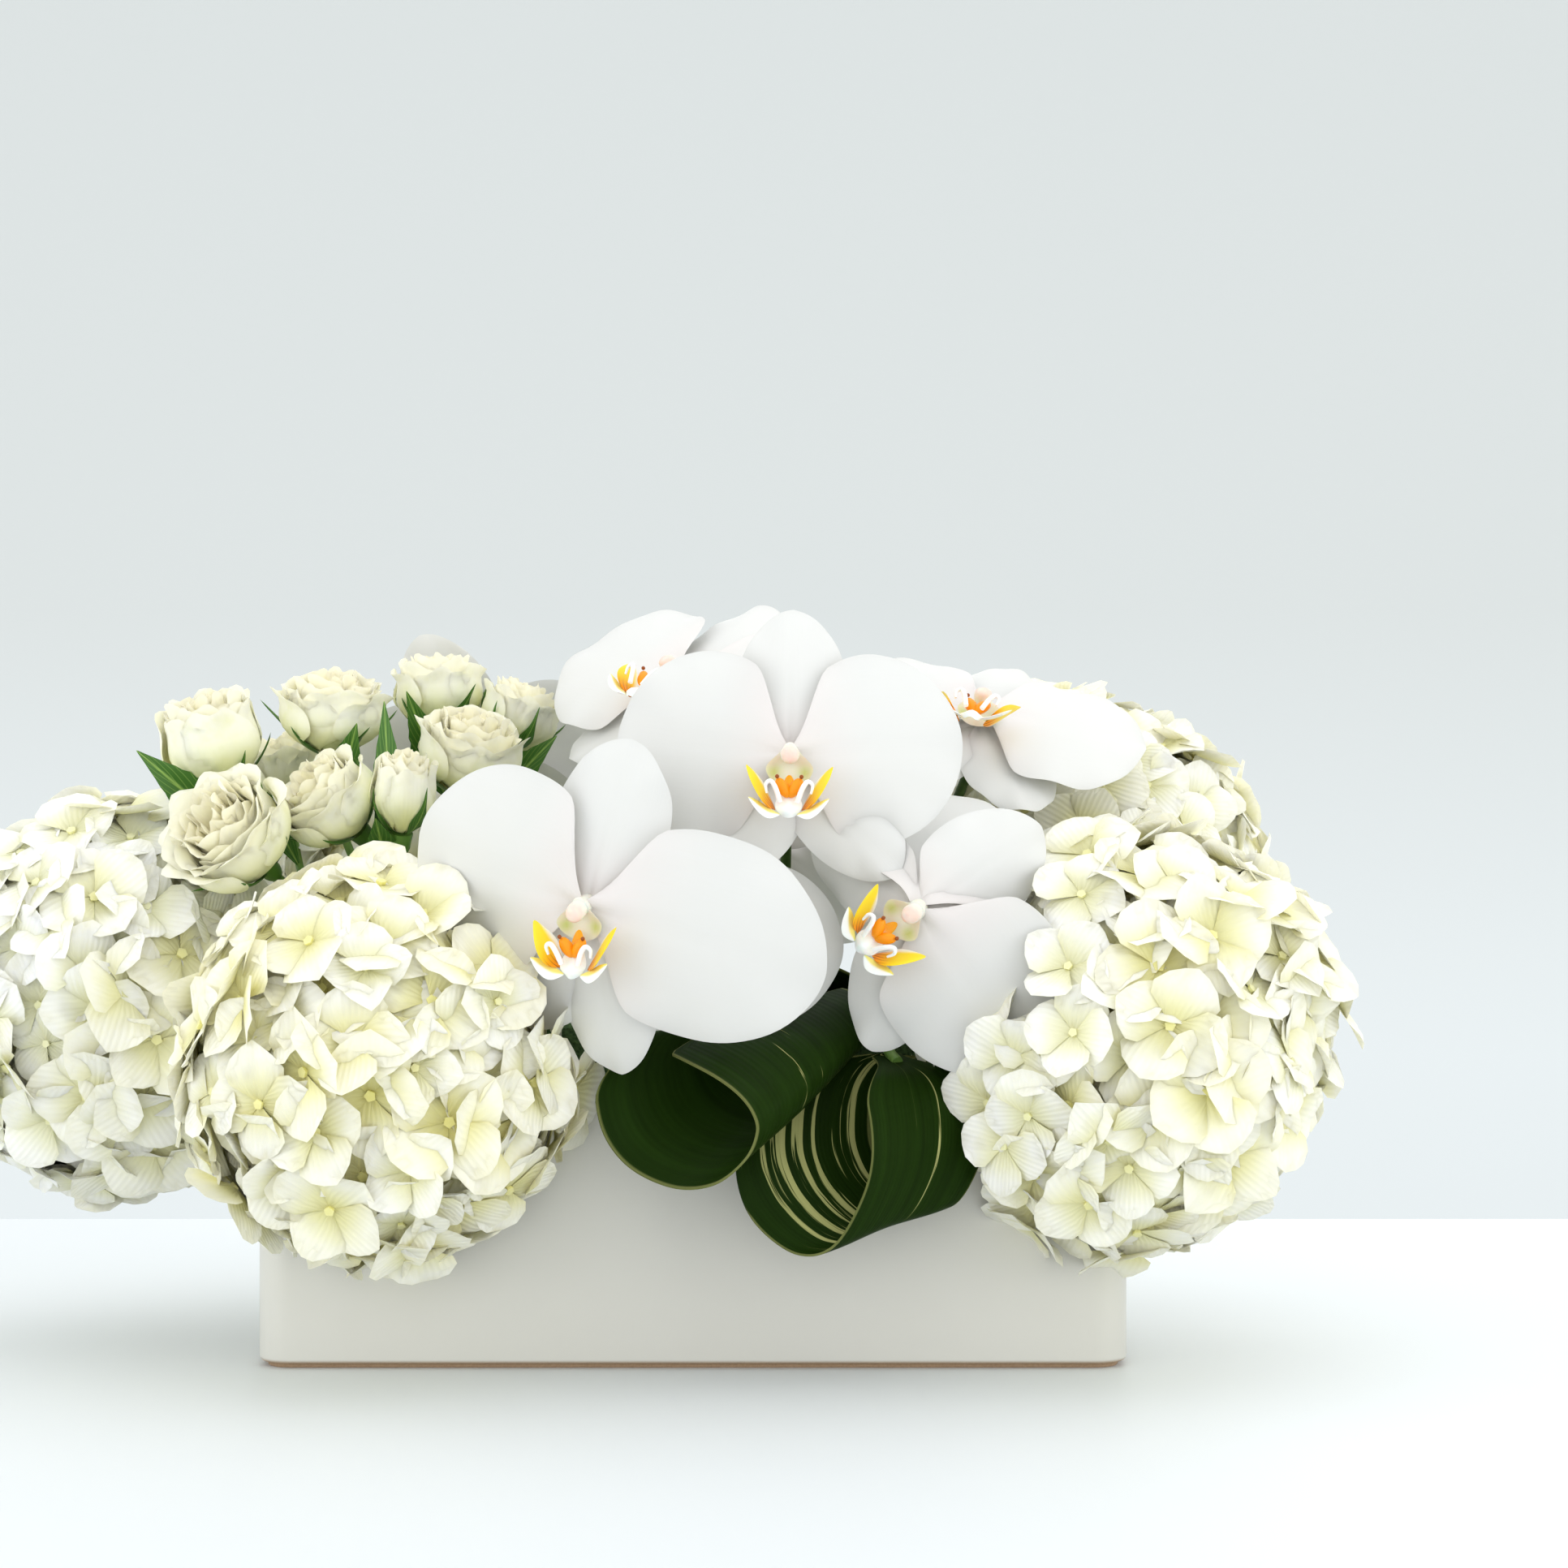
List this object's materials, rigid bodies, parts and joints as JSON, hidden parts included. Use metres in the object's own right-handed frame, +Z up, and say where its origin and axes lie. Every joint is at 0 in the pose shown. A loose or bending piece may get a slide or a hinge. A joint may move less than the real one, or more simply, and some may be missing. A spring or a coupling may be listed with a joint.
{
  "type": "floral table centerpiece",
  "caption": "White and cream flowers with striped leaf loops, arranged in a long rectangular glazed vase.",
  "frame": {"origin": "centre of the vase's underside", "axes": "+X along the vase's length, -Y towards the side seen first, +Z up"},
  "size_m": [0.5219, 0.3028, 0.269],
  "materials": {
    "glaze": "satin",
    "foam": "matte",
    "hydrangea_floret": "matte",
    "rose_petal": "matte",
    "orchid_petal": "satin",
    "orchid_lip": "satin",
    "stem": "satin",
    "leaf": "satin"
  },
  "bodies": {
    "root": {"vase": "glaze", "floral_foam": "foam", "leaf_loop_1": "leaf", "leaf_loop_2": "leaf", "leaf_loop_3": "leaf", "leaf_loop_4": "leaf", "orchid_1_bloom": "orchid_petal", "orchid_1_lip": "orchid_lip", "orchid_1_stem": "stem", "orchid_2_bloom": "orchid_petal", "orchid_2_lip": "orchid_lip", "orchid_2_stem": "stem", "orchid_3_bloom": "orchid_petal", "orchid_3_lip": "orchid_lip", "orchid_3_stem": "stem", "orchid_4_bloom": "orchid_petal", "orchid_4_lip": "orchid_lip", "orchid_4_stem": "stem", "orchid_5_bloom": "orchid_petal", "orchid_5_lip": "orchid_lip", "orchid_5_stem": "stem", "orchid_6_bloom": "orchid_petal", "orchid_6_lip": "orchid_lip", "orchid_6_stem": "stem", "orchid_7_bloom": "orchid_petal", "orchid_7_lip": "orchid_lip", "orchid_7_stem": "stem", "orchid_8_bloom": "orchid_petal", "orchid_8_lip": "orchid_lip", "orchid_8_stem": "stem", "rose_1": "rose_petal", "rose_2": "rose_petal", "rose_3": "rose_petal", "rose_4": "rose_petal", "rose_5": "rose_petal", "rose_6": "rose_petal", "rose_7": "rose_petal", "rose_8": "rose_petal", "rose_9": "rose_petal", "rose_spray_left": "stem", "rose_spray_middle": "stem", "rose_spray_right": "stem", "hydrangea_left_stem": "stem", "hydrangea_left": "hydrangea_floret", "hydrangea_front_left_stem": "stem", "hydrangea_front_left": "hydrangea_floret", "hydrangea_front_right_stem": "stem", "hydrangea_front_right": "hydrangea_floret", "hydrangea_back_right_stem": "stem", "hydrangea_back_right": "hydrangea_floret", "hydrangea_back_left_stem": "stem", "hydrangea_back_left": "hydrangea_floret"}
  },
  "joints": []
}
